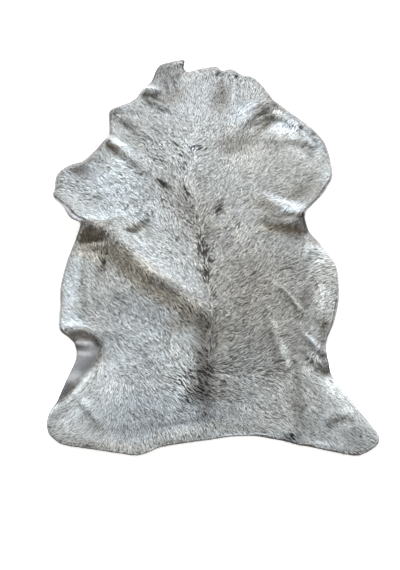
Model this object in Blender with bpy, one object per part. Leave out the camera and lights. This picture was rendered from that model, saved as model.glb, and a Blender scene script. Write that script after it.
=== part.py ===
"""A shorn lambskin lying wool side up: one whole tanned hide with its cropped wool.

The hide is a single cut piece, so it is a single closed solid. Its outline is the skin of the animal
opened flat: neck at +Y, rump at -Y, forelegs and hind legs as lobes at the sides. The middle lies flat
on the floor, and the drying of the hide has left folds that run inwards from the rim and lift it.
"""

import math
from collections import namedtuple

import bmesh
import bpy
from mathutils import Vector, geometry, kdtree, noise

MM = 0.001

# Driving sizes
LEATHER = 2.0 * MM  # the tanned skin itself
PILE = 9.0 * MM  # height of the cropped wool above the skin, as it lies
BARE_PILE = 0.6 * MM  # down on the thin skin of armpits and flanks
RIM_PILE_SHARE = 0.35  # share of the pile's height left at the rim, where it slopes away
PILE_RISE = 26 * MM  # from the rim to where the wool has its full height
WOOL_UNEVEN = 0.9 * MM  # how far the wool's surface rises and falls
WOOL_LUMP = 55 * MM  # width of those rises
RIM_REACH = 46 * MM  # how far inwards a lifted rim pulls the hide off the floor
TOP_INSET = 2.4 * MM  # the wool's edge stands this far inside the cut edge of the skin
RIM_WAVER = 1.3 * MM  # how far the cut edge strays from its line
WAVER_WIDTH = 26 * MM
NODE_NAME = "lambskin"

# Spacing of the surface's points: close along the rim and its folds, wide in the flat middle
RIM_STEP = 8.5 * MM
CREST_STEP = 10 * MM
FOLD_STEP = 12.5 * MM
MIDDLE_STEP = 21 * MM
FOLD_BAND = 62 * MM
CORNER_ROUNDING_PASSES = 2

# The rim, clockwise from the neck. Each row is a corner and the edge that leads on from it to the
# next: bow is how far that edge swells outwards (+) or is drawn in (-), and lift is the height of the
# hide's underside above the floor at the corner. All in millimetres.
Corner = namedtuple("Corner", "name x y bow lift")
RIM = [
    Corner("neck tab tip", -45, 467, 0, 14),
    Corner("neck tab notch", -58, 447, 0, 8),
    Corner("neck dip", -47, 438, 2, 3),
    Corner("neck crest", 26, 459, 0, 2),
    Corner("neck nick", 32, 438, 21, 1),
    Corner("neck right lobe", 76, 427, 1, 4),
    Corner("neck right corner", 100, 428, 4, 6),
    Corner("neck right round", 131, 394, 1, 7),
    Corner("right cheek fold", 150, 358, 0, 18),
    Corner("right cheek nick", 149, 346, 0, 6),
    Corner("right cheek point", 163, 352, -1, 8),
    Corner("right shoulder dip", 222, 300, 2, 7),
    Corner("right shoulder", 266, 245, 2, 9),
    Corner("right foreleg", 278, 161, 6, 12),
    Corner("right armpit fold", 207, 64, 0, 24),
    Corner("right armpit", 206, 53, 0, 22),
    Corner("right armpit low", 217, 30, 5, 3),
    Corner("right side high", 274, -56, 13, 8),
    Corner("right side low", 244, -214, -2, 5),
    Corner("right flank fold", 239, -248, -2, 17),
    Corner("right flank low", 253, -298, 0, 3),
    Corner("right hind knee", 330, -404, 2, 2),
    Corner("right hind toe", 340, -421, 3, 5),
    Corner("right hind heel", 322, -442, 1, 6),
    Corner("right hind base", 291, -456, 0, 4),
    Corner("rump right", 132, -422, -8, 2),
    Corner("rump middle", 8, -423, -2, 2),
    Corner("rump left", -97, -438, 2, 3),
    Corner("rump lobe", -144, -455, -1, 5),
    Corner("left hind base", -285, -434, 7, 6),
    Corner("left hind toe", -321, -392, 3, 8),
    Corner("left hind knee", -301, -346, 0, 4),
    Corner("left flank low", -268, -258, -2, 4),
    Corner("left flank high", -270, -227, -5, 6),
    Corner("left side fold", -303, -207, 2, 20),
    Corner("left side corner", -306, -184, -1, 23),
    Corner("left side middle", -309, -112, 1, 11),
    Corner("left side high", -303, -60, 3, 6),
    Corner("left armpit low", -275, 25, 0, 3),
    Corner("left armpit", -266, 39, 0, 25),
    Corner("left foreleg fold", -297, 51, -8, 23),
    Corner("left foreleg tip", -341, 108, 0, 15),
    Corner("left foreleg dent", -333, 130, -1, 10),
    Corner("left foreleg knob", -336, 151, 2, 9),
    Corner("left foreleg high", -328, 174, 5, 8),
    Corner("left shoulder low", -275, 202, 0, 4),
    Corner("left shoulder fold", -255, 221, 1, 9),
    Corner("left shoulder dip", -219, 260, 0, 17),
    Corner("left cheek", -223, 326, 4, 12),
    Corner("left cheek high", -175, 354, 0, 6),
    Corner("neck left dip", -151, 382, 2, 4),
    Corner("neck left knob", -144, 391, 3, 14),
    Corner("neck left crease", -126, 407, 2, 8),
    Corner("neck left corner", -114, 452, 3, 10),
]

# The folds. Each row is a crest that runs from its start, mostly at the rim, past a middle point to its
# end inside. height_out and height_in are the rise of the underside at the two ends, and reach_neck and
# reach_rump are how wide the slope is on the side towards the neck and towards the rump. Millimetres.
Fold = namedtuple(
    "Fold", "name x0 y0 x1 y1 x2 y2 height_out height_in reach_neck reach_rump"
)
FOLDS = [
    Fold("neck knob", -147, 387, -124, 364, -97, 340, 18, 6, 17, 13),
    Fold("left cheek", -218, 320, -180, 300, -127, 260, 16, 5, 28, 24),
    Fold("left shoulder", -216, 247, -182, 216, -138, 178, 20, 4, 26, 17),
    Fold("left foreleg edge", -316, 78, -266, 41, -210, 28, 24, 26, 46, 14),
    Fold("left armpit", -266, 31, -221, 26, -162, -24, 28, 27, 38, 34),
    Fold("left armpit branch", -220, 32, -163, 41, -121, 81, 20, 5, 30, 14),
    Fold("left side", -193, 5, -120, -72, -3, -157, 28, 13, 46, 50),
    Fold("left side corner", -310, -204, -267, -207, -228, -214, 25, 7, 42, 13),
    Fold("left side wrinkle", -259, -30, -257, -112, -241, -191, 7, 4, 15, 11),
    Fold("left flank upper", -276, -229, -255, -231, -233, -239, 10, 4, 15, 9),
    Fold("left flank lower", -283, -309, -272, -305, -249, -293, 9, 3, 16, 14),
    Fold("left hind leg", -312, -372, -270, -340, -223, -277, 9, 6, 18, 30),
    Fold("left hind crease", -258, -338, -229, -371, -204, -411, 5, 2, 16, 10),
    Fold("rump left crease", -81, -178, -68, -232, -58, -293, 5, 2, 13, 17),
    Fold("rump lobe", -143, -463, -141, -435, -135, -407, 7, 1, 32, 32),
    Fold("neck right pleat", 61, 429, 63, 380, 57, 329, 8, 2, 14, 14),
    Fold("right cheek", 150, 346, 113, 318, 76, 290, 23, 4, 40, 20),
    Fold("right cheek small", 160, 342, 138, 312, 108, 278, 12, 3, 15, 17),
    Fold("right shoulder", 217, 254, 181, 262, 137, 257, 12, 4, 30, 26),
    Fold("right shoulder roll", 163, 319, 207, 281, 233, 229, 8, 11, 18, 15),
    Fold("right foreleg", 282, 160, 253, 165, 218, 173, 13, 3, 44, 34),
    Fold("right armpit", 217, 64, 178, 78, 112, 108, 28, 5, 26, 34),
    Fold("right armpit lower", 206, 46, 157, 50, 106, 68, 21, 5, 30, 22),
    Fold("right side", 240, -49, 228, -113, 228, -174, 9, 4, 22, 20),
    Fold("right back", 122, -133, 140, -211, 164, -277, 5, 3, 22, 24),
    Fold("right back crease", 150, -100, 172, -132, 197, -160, 6, 3, 20, 10),
    Fold("right flank", 239, -272, 211, -250, 183, -203, 22, 5, 24, 18),
    Fold("right hind arc", 235, -385, 249, -372, 281, -372, 6, 5, 14, 14),
]
CREST_STEPS = 8  # straight pieces that a crest is measured along
MEETING = 6  # how sharply two folds meet: higher keeps more of the valley between them

# Where the hide is thin and nearly bare, as ellipses. angle turns the long axis from +X. Millimetres.
Patch = namedtuple("Patch", "name x y half_length half_width angle")
BARE_PATCHES = [
    Patch("left flank", -258, -272, 74, 24, 68),
    Patch("left armpit", -249, 15, 40, 24, -60),
    Patch("left foreleg edge", -290, 182, 26, 11, 12),
    Patch("right shoulder edge", 222, 284, 96, 13, -50),
    Patch("right foreleg edge", 254, 112, 56, 9, 54),
    Patch("right armpit", 224, 24, 42, 14, -58),
    Patch("right flank", 247, -238, 66, 10, -85),
]
PATCH_EDGE = 0.35  # share of a patch's radius over which the wool starts

WOOL_GREY = (0.42, 0.43, 0.42, 1.0)
WOOL_ROUGHNESS = 0.92


def smooth_step(t):
    """0 to 1 with level ends, as t goes from 0 to 1."""
    t = min(1.0, max(0.0, t))
    return t * t * (3 - 2 * t)


def mix(a, b, t):
    return a + (b - a) * t


def edge_points(corner, following):
    """The points from a corner up to, and not including, the next one, each with its lift."""
    start = Vector((corner.x, corner.y)) * MM
    end = Vector((following.x, following.y)) * MM
    along = end - start
    outward = Vector((-along.y, along.x)).normalized()
    steps = max(1, round(along.length / RIM_STEP))
    for k in range(steps):
        t = k / steps
        swell = outward * (corner.bow * MM * 4 * t * (1 - t))
        lift = mix(corner.lift, following.lift, smooth_step(t)) * MM
        yield start + along * t + swell, lift


def rim_points():
    """The whole rim, clockwise, with its corners rounded, and the lift at each point."""
    both = [
        made
        for corner, following in zip(RIM, RIM[1:] + RIM[:1])
        for made in edge_points(corner, following)
    ]
    points = [point for point, _ in both]
    lifts = [lift for _, lift in both]
    for _ in range(CORNER_ROUNDING_PASSES):
        points = [
            (points[i - 1] + points[i] * 2 + points[(i + 1) % len(points)]) / 4
            for i in range(len(points))
        ]
    strays = [noise.noise_vector((p / WAVER_WIDTH).to_3d()).to_2d() for p in points]
    return [p + stray * RIM_WAVER for p, stray in zip(points, strays)], lifts


def middle_of(points):
    """The centre of the points' bounding box."""
    xs = [p.x for p in points]
    ys = [p.y for p in points]
    return Vector(((min(xs) + max(xs)) / 2, (min(ys) + max(ys)) / 2))


def inside(point, outline):
    """Whether the point lies within the closed outline, by counting the edges that a ray crosses."""
    crossings = 0
    for a, b in zip(outline, outline[1:] + outline[:1]):
        if (a.y > point.y) != (b.y > point.y):
            crossings += point.x < mix(a.x, b.x, (point.y - a.y) / (b.y - a.y))
    return crossings % 2 == 1


def crest_line(fold):
    """A fold's crest as a short row of points on a curve through its middle point."""
    start, middle, end = (
        Vector(p) * MM
        for p in ((fold.x0, fold.y0), (fold.x1, fold.y1), (fold.x2, fold.y2))
    )
    control = middle * 2 - (start + end) / 2
    points = []
    for k in range(CREST_STEPS + 1):
        t = k / CREST_STEPS
        points.append(
            start * (1 - t) ** 2 + control * (2 * t * (1 - t)) + end * t**2
        )
    return points


CRESTS = [(fold, crest_line(fold)) for fold in FOLDS]


def nearest_on(line, point):
    """Distance to the line, the share of its length there, and the side: 1 neck, 0 rump, 0.5 ahead."""
    neckward = math.copysign(1.0, line[-1].x - line[0].x)
    best = (math.inf, 0.0, 0.5)
    for k, (a, b) in enumerate(zip(line, line[1:])):
        along = b - a
        t = min(1.0, max(0.0, (point - a).dot(along) / along.length_squared))
        away = point - (a + along * t)
        if away.length < best[0]:
            across = Vector((-along.y, along.x)).normalized() * neckward
            side = (1 + away.dot(across) / max(away.length, 1e-9)) / 2
            best = (away.length, (k + t) / (len(line) - 1), side)
    return best


def fold_rise(point):
    """Height that the folds give the underside at a point, the highest one winning smoothly."""
    total = 0.0
    for fold, line in CRESTS:
        distance, share, side = nearest_on(line, point)
        away = distance / (mix(fold.reach_rump, fold.reach_neck, side) * MM)
        if away < 1:
            height = mix(fold.height_out, fold.height_in, share) * MM
            slope = (1 - away) ** 2 * (1 + away)  # a fairly straight side with a soft foot
            total += (height * slope) ** MEETING
    return total ** (1 / MEETING)


def near_a_fold(point):
    return any(
        nearest_on(line, point)[0] < max(fold.reach_neck, fold.reach_rump) * MM
        for fold, line in CRESTS
    )


def bareness(point):
    """1 in the middle of a bare patch, 0 where the wool is whole."""
    most = 0.0
    for patch in BARE_PATCHES:
        away = point - Vector((patch.x, patch.y)) * MM
        turn = math.radians(patch.angle)
        along = away.x * math.cos(turn) + away.y * math.sin(turn)
        across = away.y * math.cos(turn) - away.x * math.sin(turn)
        radius = math.hypot(
            along / (patch.half_length * MM), across / (patch.half_width * MM)
        )
        most = max(most, 1 - smooth_step((radius - 1 + PATCH_EDGE) / PATCH_EDGE))
    return most


class Rim:
    """The outline with a fast way to ask how near it a point is."""

    def __init__(self):
        self.points, self.lifts = rim_points()
        self.tree = kdtree.KDTree(len(self.points))
        for i, point in enumerate(self.points):
            self.tree.insert(point.to_3d(), i)
        self.tree.balance()

    def nearest(self, point):
        """Distance to the rim, and the rim's lift there."""
        found = self.tree.find_n(point.to_3d(), 2)
        weights = [1 / max(distance, 1e-6) for _, _, distance in found]
        lift = sum(
            self.lifts[i] * w for (_, i, _), w in zip(found, weights)
        ) / sum(weights)
        return found[0][2], lift

    def inward(self, index):
        """The direction from a rim point into the hide."""
        count = len(self.points)
        along = self.points[(index + 1) % count] - self.points[index - 1]
        return Vector((along.y, -along.x)).normalized()


def underside(point, rim):
    """Height of the hide's underside above the floor."""
    distance, lift = rim.nearest(point)
    curl = lift * (1 - smooth_step(distance / RIM_REACH))
    return (curl**MEETING + fold_rise(point) ** MEETING) ** (1 / MEETING)


def thickness(point, rim):
    """Height from the underside to the tips of the wool."""
    distance, _ = rim.nearest(point)
    slope = mix(RIM_PILE_SHARE, 1.0, smooth_step(distance / PILE_RISE))
    lumps = noise.noise((point / WOOL_LUMP).to_3d()) * WOOL_UNEVEN
    wool = (PILE + lumps) * slope
    return LEATHER + mix(wool, BARE_PILE, bareness(point))


def grid_points(rim, step, keep):
    """Points of a triangular grid that lie well inside the rim and that keep() accepts."""
    centre = middle_of(rim.points)
    xs = [p.x for p in rim.points]
    ys = [p.y for p in rim.points]
    row_step = step * math.sqrt(3) / 2
    columns = math.ceil((max(xs) - min(xs)) / step / 2) + 1
    rows = math.ceil((max(ys) - min(ys)) / row_step / 2) + 1
    found = []
    for row in range(-rows, rows + 1):
        for column in range(-columns, columns + 1):
            offset = step / 2 if row % 2 else 0.0
            point = centre + Vector((column * step + offset, row * row_step))
            distance = rim.nearest(point)[0]
            if (
                distance > 0.65 * min(step, FOLD_STEP)
                and keep(point, distance)
                and inside(point, rim.points)
            ):
                found.append(point)
    return found


def crest_points(rim):
    """Points along the folds' crests, so that each crest is an edge of the surface and stays crisp."""
    found = []
    for _, line in CRESTS:
        for a, b in zip(line, line[1:]):
            steps = max(1, round((b - a).length / CREST_STEP))
            found += [a.lerp(b, k / steps) for k in range(steps)]
    kept = []
    for point in found:
        clear = all((point - other).length > CREST_STEP * 0.7 for other in kept)
        well_in = rim.nearest(point)[0] > CREST_STEP * 0.8 and inside(point, rim.points)
        if clear and well_in:
            kept.append(point)
    return kept


def flat_hide(rim):
    """The cut hide lying flat, as a triangulated sheet in a bmesh. The rim's points come first."""
    crests = crest_points(rim)

    def off_crests(point):
        return all((point - other).length > FOLD_STEP * 0.62 for other in crests)

    fine = grid_points(
        rim,
        FOLD_STEP,
        lambda p, d: (d < FOLD_BAND or near_a_fold(p)) and off_crests(p),
    )
    coarse = grid_points(
        rim, MIDDLE_STEP, lambda p, d: d >= FOLD_BAND and not near_a_fold(p)
    )
    points = rim.points + crests + fine + coarse
    outline = [list(range(len(rim.points)))[::-1]]
    made, _, faces, *_ = geometry.delaunay_2d_cdt(points, [], outline, 1, 1e-7)
    sheet = bmesh.new()
    vertices = [sheet.verts.new(point.to_3d()) for point in made]
    for face in faces:
        sheet.faces.new([vertices[i] for i in face])
    loose = [v for v in sheet.verts if not v.link_faces]
    bmesh.ops.delete(sheet, geom=loose, context="VERTS")
    bmesh.ops.recalc_face_normals(sheet, faces=sheet.faces)
    return sheet


def raise_hide(sheet, rim):
    """Gives the flat sheet its wool and its folds: a closed body of underside, wool and cut edge."""
    lower = list(sheet.verts)
    grown = bmesh.ops.extrude_face_region(sheet, geom=list(sheet.faces))["geom"]
    top = [v for v in grown if isinstance(v, bmesh.types.BMVert)]
    for vertex in top:
        point = vertex.co.to_2d()
        height = underside(point, rim) + thickness(point, rim)
        _, index, distance = rim.tree.find(vertex.co)
        if distance < TOP_INSET / 2:
            point += rim.inward(index) * TOP_INSET
        vertex.co = (point.x, point.y, height)
    for vertex in lower:
        vertex.co.z = underside(vertex.co.to_2d(), rim)
    bmesh.ops.recalc_face_normals(sheet, faces=sheet.faces)


def wool_material():
    material = bpy.data.materials.new("grey_shorn_wool")
    material.use_nodes = True
    shader = material.node_tree.nodes["Principled BSDF"]
    shader.inputs["Base Color"].default_value = WOOL_GREY
    shader.inputs["Roughness"].default_value = WOOL_ROUGHNESS
    shader.inputs["Metallic"].default_value = 0.0
    return material


def clear_scene():
    for obj in list(bpy.data.objects):
        bpy.data.objects.remove(obj, do_unlink=True)


def main():
    clear_scene()
    rim = Rim()
    sheet = flat_hide(rim)
    raise_hide(sheet, rim)
    centre = middle_of([v.co.to_2d() for v in sheet.verts])
    bmesh.ops.translate(sheet, verts=sheet.verts, vec=(-centre.x, -centre.y, 0))
    mesh = bpy.data.meshes.new(NODE_NAME)
    sheet.to_mesh(mesh)
    sheet.free()
    mesh.materials.append(wool_material())
    mesh.shade_smooth()
    mesh.set_sharp_from_angle(angle=math.radians(50))
    collection = bpy.data.collections.new(NODE_NAME)
    bpy.context.scene.collection.children.link(collection)
    collection.objects.link(bpy.data.objects.new(NODE_NAME, mesh))
    print(f"{NODE_NAME}: {len(mesh.vertices)} points, {len(mesh.polygons)} triangles")


main()
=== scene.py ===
# %% [markdown]
# # A shorn lambskin, wool side up
# The real thing is one tanned skin with its wool still in it, cropped to about a centimetre. The frame
# holds it as one solid: a slab as thick as hide and wool together, with its folds. This script dresses
# that slab: a thin sheet of leather underneath, a dense underwool on it, and a quarter of a million
# tapered hairs that follow the way the wool lies on a lamb.

# %% Load the frame
import math
from collections import namedtuple

import bmesh
import bpy
import numpy as np
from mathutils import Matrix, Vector
from mathutils.bvhtree import BVHTree
from mathutils.kdtree import KDTree


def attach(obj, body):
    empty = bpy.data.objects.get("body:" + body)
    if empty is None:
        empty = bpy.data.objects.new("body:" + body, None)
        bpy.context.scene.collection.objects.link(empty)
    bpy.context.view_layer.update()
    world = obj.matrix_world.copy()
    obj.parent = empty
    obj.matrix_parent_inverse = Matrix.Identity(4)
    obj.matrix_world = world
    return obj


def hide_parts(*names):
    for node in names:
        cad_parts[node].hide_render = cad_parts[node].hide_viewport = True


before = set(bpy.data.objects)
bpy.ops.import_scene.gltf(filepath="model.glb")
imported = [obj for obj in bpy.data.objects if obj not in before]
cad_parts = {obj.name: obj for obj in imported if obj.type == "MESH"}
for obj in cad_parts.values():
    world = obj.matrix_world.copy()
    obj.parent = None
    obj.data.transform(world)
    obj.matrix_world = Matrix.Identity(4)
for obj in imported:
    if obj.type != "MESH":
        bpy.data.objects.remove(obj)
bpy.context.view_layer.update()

MM = 0.001
skin_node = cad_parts["lambskin"]
scene = bpy.context.scene

# %% [markdown]
# ## The camera
# The photograph looks down on the skin from the rump's side. How much narrower the far end looks gives
# the distance, and how wide the whole looks gives the lens.

# %% Camera
AIM = Vector((-0.0157, -0.0988, 0.0))  # the floor point in the middle of the picture
ELEVATION = math.radians(68)
DISTANCE = 1.90
LENS = 56.97  # mm, on a sensor 36 mm wide along the picture's long side

camera = bpy.data.objects.new("camera", bpy.data.cameras.new("camera"))
scene.collection.objects.link(camera)
camera.location = AIM + Vector((0, -math.cos(ELEVATION), math.sin(ELEVATION))) * DISTANCE
camera.rotation_euler = (math.pi / 2 - ELEVATION, 0, 0)
camera.data.lens = LENS
camera.data.sensor_width = 36
scene.camera = camera
scene.view_settings.view_transform = "Standard"
print("camera at", [round(x, 3) for x in camera.location])

# %% [markdown]
# ## Two small helpers
# Colours are written as sRGB hex, as a colour picker gives them, and Blender wants linear values.
# Shader nodes are all made by one function, so that each material reads as a list of what it mixes.


# %% Helpers for materials
def colour(hex_code):
    """A linear RGBA colour from an sRGB hex code."""
    parts = [int(hex_code[i : i + 2], 16) / 255 for i in (0, 2, 4)]
    return tuple(c / 12.92 if c < 0.04045 else ((c + 0.055) / 1.055) ** 2.4 for c in parts) + (1.0,)


def add_node(tree, kind, values=(), links=(), **settings):
    """Adds a node: settings are its own fields, values and links are (socket, value or output)."""
    node = tree.nodes.new(kind)
    for name, value in settings.items():
        setattr(node, name, value)
    for socket, value in values:
        node.inputs[socket].default_value = value
    for socket, output in links:
        tree.links.new(output, node.inputs[socket])
    return node


def new_material(name):
    """A material with nodes, its tree and its Principled shader."""
    material = bpy.data.materials.new(name)
    material.use_nodes = True
    return material, material.node_tree, material.node_tree.nodes["Principled BSDF"]


# %% [markdown]
# ## Floor and light
# The photograph's shading speaks of a window beyond the neck, a little to the left, that lights the
# folds from low down, so that their rump sides fall into a warm shade. A large area lamp does that, a
# pale sky fills the shade, and a plain white floor carries the skin.

# %% Floor and light
FLOOR_SIDE = 9.0
KEY_PLACE = Vector((-0.30, 4.70, 2.35))
KEY_SIDE = 1.8
KEY_POWER = 1500
KEY_COLOUR = colour("f3f8ff")
SKY_COLOUR = colour("fff3e6")
SKY_STRENGTH = 0.40

floor_material, floor_tree, floor_shader = new_material("white_matt_paper")
floor_shader.inputs["Base Color"].default_value = colour("f6f6f6")
floor_shader.inputs["Roughness"].default_value = 0.9
floor_shader.inputs["Emission Color"].default_value = colour("ffffff")
floor_shader.inputs["Emission Strength"].default_value = 0.75

floor_mesh = bmesh.new()
bmesh.ops.create_grid(floor_mesh, x_segments=1, y_segments=1, size=FLOOR_SIDE / 2)
floor = bpy.data.objects.new("floor", bpy.data.meshes.new("floor"))
floor_mesh.to_mesh(floor.data)
floor_mesh.free()
floor.data.materials.append(floor_material)
scene.collection.objects.link(floor)
floor.location.z = -0.3 * MM

key = bpy.data.objects.new("window", bpy.data.lights.new("window", "AREA"))
key.data.size = KEY_SIDE
key.data.energy = KEY_POWER
key.data.color = KEY_COLOUR[:3]
key.location = KEY_PLACE
key.rotation_euler = (-KEY_PLACE).to_track_quat("-Z", "Y").to_euler()
scene.collection.objects.link(key)

sky = bpy.data.worlds.new("pale_room")
sky.use_nodes = True
sky.node_tree.nodes["Background"].inputs["Color"].default_value = SKY_COLOUR
sky.node_tree.nodes["Background"].inputs["Strength"].default_value = SKY_STRENGTH
scene.world = sky
print("window", round(math.degrees(math.asin(KEY_PLACE.z / KEY_PLACE.length))), "degrees above the floor")

# %% [markdown]
# ## The two surfaces of the solid
# The solid has a wool side and a flesh side, with the cut edge between them. Both are wanted as smooth
# surfaces with the same points, so the flesh side is measured straight below each point of the wool
# side. One level of subdivision then rounds the facets off.

# %% Wool side and flesh side
LEATHER = 2.0 * MM

solid = bmesh.new()
solid.from_mesh(skin_node.data)
bmesh.ops.remove_doubles(solid, verts=solid.verts, dist=0.01 * MM)
solid.normal_update()
solid.verts.index_update()
flesh_faces = [f for f in solid.faces if f.normal.z < -0.05]
flesh_points = {v for f in flesh_faces for v in f.verts}
flesh_tree = BVHTree.FromPolygons(
    [v.co.copy() for v in solid.verts], [[v.index for v in f.verts] for f in flesh_faces]
)
cut_edge = [v.co.copy() for v in flesh_points if any(f.normal.z >= -0.05 for f in v.link_faces)]
edge_tree = KDTree(len(cut_edge))
for i, co in enumerate(cut_edge):
    edge_tree.insert((co.x, co.y, 0), i)
edge_tree.balance()

not_wool = [f for f in solid.faces if any(v in flesh_points for v in f.verts)]
bmesh.ops.delete(solid, geom=not_wool, context="FACES")
bmesh.ops.delete(solid, geom=[v for v in solid.verts if not v.link_faces], context="VERTS")


def flesh_below(co):
    """Height of the flesh side straight below a point."""
    hit = flesh_tree.ray_cast(Vector((co.x, co.y, -0.01)), Vector((0, 0, 1)))[0]
    return hit.z if hit else 0.0


def rounded(shape, place):
    """A mesh of the shape's faces with its points moved by place(vertex), subdivided once and smooth."""
    copy = shape.copy()
    for vertex in copy.verts:
        vertex.co = place(vertex)
    rough = bpy.data.meshes.new("rough")
    copy.to_mesh(rough)
    copy.free()
    holder = bpy.data.objects.new("rough", rough)
    scene.collection.objects.link(holder)
    rounding = holder.modifiers.new("rounding", "SUBSURF")
    rounding.levels = rounding.render_levels = 1
    seen = holder.evaluated_get(bpy.context.evaluated_depsgraph_get())
    smooth = bpy.data.meshes.new_from_object(seen)
    bpy.data.objects.remove(holder, do_unlink=True)
    return smooth


def on_cut_edge(vertex):
    """The flesh side's point for a point of the wool side, out to the cut edge along the rim."""
    if vertex.is_boundary:
        return cut_edge[edge_tree.find((vertex.co.x, vertex.co.y, 0))[1]]
    return Vector((vertex.co.x, vertex.co.y, flesh_below(vertex.co)))


def points_of(mesh):
    """A mesh's points as an array."""
    flat = np.empty(len(mesh.vertices) * 3)
    mesh.vertices.foreach_get("co", flat)
    return flat.reshape(-1, 3)


wool_side = rounded(solid, lambda v: v.co)
flesh_side = rounded(solid, on_cut_edge)
below = rounded(solid, lambda v: Vector((v.co.x, v.co.y, flesh_below(v.co))))
solid.free()
wool_top = points_of(wool_side)
skin_top = points_of(below) + (0, 0, LEATHER)
print("points on each side:", len(wool_top))

# %% [markdown]
# ## How far each point is from the rim
# The wool gets shorter towards the rim, so every point needs its distance from the cut edge. The edge's
# points come in no order, so they are first threaded into a loop, each with its nearest neighbour.

# %% Distance to the rim
rim_loop = np.array([(p.x, p.y) for p in cut_edge])
rim_order = [0]
left_over = set(range(1, len(rim_loop)))
while left_over:
    here = rim_loop[rim_order[-1]]
    nearest = min(left_over, key=lambda i: float(((rim_loop[i] - here) ** 2).sum()))
    rim_order.append(nearest)
    left_over.remove(nearest)
rim_loop = rim_loop[rim_order]


def distance_to(points, outline):
    """Distance from each point to the nearest edge of a closed outline."""
    best = np.full(len(points), np.inf)
    for a, b in zip(outline, np.roll(outline, -1, axis=0)):
        edge = b - a
        t = np.clip(((points - a) @ edge) / max(edge @ edge, 1e-12), 0, 1)
        gap = points - (a + t[:, None] * edge)
        best = np.minimum(best, np.hypot(gap[:, 0], gap[:, 1]))
    return best


def smooth_step(t):
    t = np.clip(t, 0, 1)
    return t * t * (3 - 2 * t)


def cell_numbers(cells, count):
    """Steady pseudo-random numbers, 0 to 1, for whole-number grid cells."""
    seed = cells[..., 0] * 12.9898 + cells[..., 1] * 78.233
    return [np.modf(np.abs(np.sin(seed + 37.719 * k)) * 43758.5453)[0] for k in range(count)]


def soft_noise(points, size, salt):
    """Smooth noise, -1 to 1, whose lumps are about that far apart."""
    grid = points / size + salt
    low = np.floor(grid)
    fx, fy = smooth_step(grid - low).T
    a, b, c, d = (cell_numbers(low + move, 1)[0] for move in ((0, 0), (1, 0), (0, 1), (1, 1)))
    return 2 * ((a + (b - a) * fx) * (1 - fy) + (c + (d - c) * fx) * fy) - 1


rim_distance = distance_to(wool_top[:, :2], rim_loop)
print("rim points:", len(rim_loop), "deepest point, mm:", round(rim_distance.max() / MM))

# %% [markdown]
# ## Small wrinkles
# The solid has the large folds. The small ones, a few millimetres high, are soft ridges laid over it:
# each runs from one point to another, is highest half way, and lifts leather and wool together. A height
# below zero makes a dip of it.

# %% Small wrinkles
Wrinkle = namedtuple("Wrinkle", "name start_x start_y end_x end_y half_width height")
WRINKLES = [
    Wrinkle("left flank, first roll", -275, -231, -232, -233, 6, 4),
    Wrinkle("left flank, low roll", -234, -263, -280, -317, 9, 4),
    Wrinkle("left flap's fold over the flank", -299, -197, -241, -205, 6, 4),
    Wrinkle("left neck knob", -149, 384, -107, 373, 8, 6),
    Wrinkle("neck pleat, first", -101, 422, -87, 373, 4, 3),
    Wrinkle("neck pleat, second", -83, 433, -68, 379, 4, 3),
    Wrinkle("neck pleat, third", 31, 433, 35, 352, 5, 3),
    Wrinkle("neck pleat, fourth", 58, 428, 62, 341, 5, 3),
    Wrinkle("left cheek", -224, 320, -188, 322, 7, 5),
    Wrinkle("left shoulder streak", -222, 251, -144, 193, 8, 3),
    Wrinkle("right shoulder roll, low", 210, 304, 262, 216, 5, 1.5),
    Wrinkle("right cheek fold, lip", 89, 317, 144, 344, 6, 4),
    Wrinkle("right cheek fold, second lip", 106, 288, 148, 317, 5, 3),
    Wrinkle("left armpit branch", -222, 36, -124, 76, 10, 4),
    Wrinkle("small crest behind the right armpit", 150, -104, 195, -164, 4, 4),
    Wrinkle("rim fold behind the right armpit", 220, -65, 236, -137, 4, 3),
    Wrinkle("pale line on the loin", -80, -184, -59, -290, 3, 1.5),
    Wrinkle("right flank, upper roll", 222, -216, 246, -227, 5, 4),
    Wrinkle("right flank, lower roll", 220, -250, 244, -259, 5, 4),
    Wrinkle("right hip crease", 171, -246, 185, -317, 6, 3),
    Wrinkle("left thigh", -302, -350, -226, -272, 8, 4),
    Wrinkle("foot of the left shoulder streak", -243, 216, -161, 165, 12, 3),
    Wrinkle("right flank, crest", 195, -210, 228, -255, 8, 4),
    Wrinkle("foot of the left armpit", -272, -7, -207, -14, 12, 6),
    Wrinkle("left neck, below the knob", -144, 370, -91, 338, 7, -6),
]


def wrinkle_lift(points):
    """How far the wrinkles lift the skin, in metres, at points in metres."""
    lift = np.zeros(len(points))
    for wrinkle in WRINKLES:
        start = np.array((wrinkle.start_x, wrinkle.start_y))
        run = np.array((wrinkle.end_x, wrinkle.end_y)) - start
        offset = points / MM - start
        t = np.clip((offset @ run) / (run @ run), 0, 1)
        gap = ((offset - t[:, None] * run) ** 2).sum(axis=1) / wrinkle.half_width**2
        lift += wrinkle.height * MM * np.sin(math.pi * t) * np.exp(-gap)
    return lift


skin_lift = wrinkle_lift(wool_top[:, :2])
print("wrinkles:", len(WRINKLES), "highest, mm:", round(float(skin_lift.max() / MM), 1))

# %% [markdown]
# ## Where the skin is bare
# Wool thins out on the belly side of the legs and flanks, where the skin rubs against itself. Each bare
# place is drawn round its edge, in millimetres from the middle of the skin.

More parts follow.
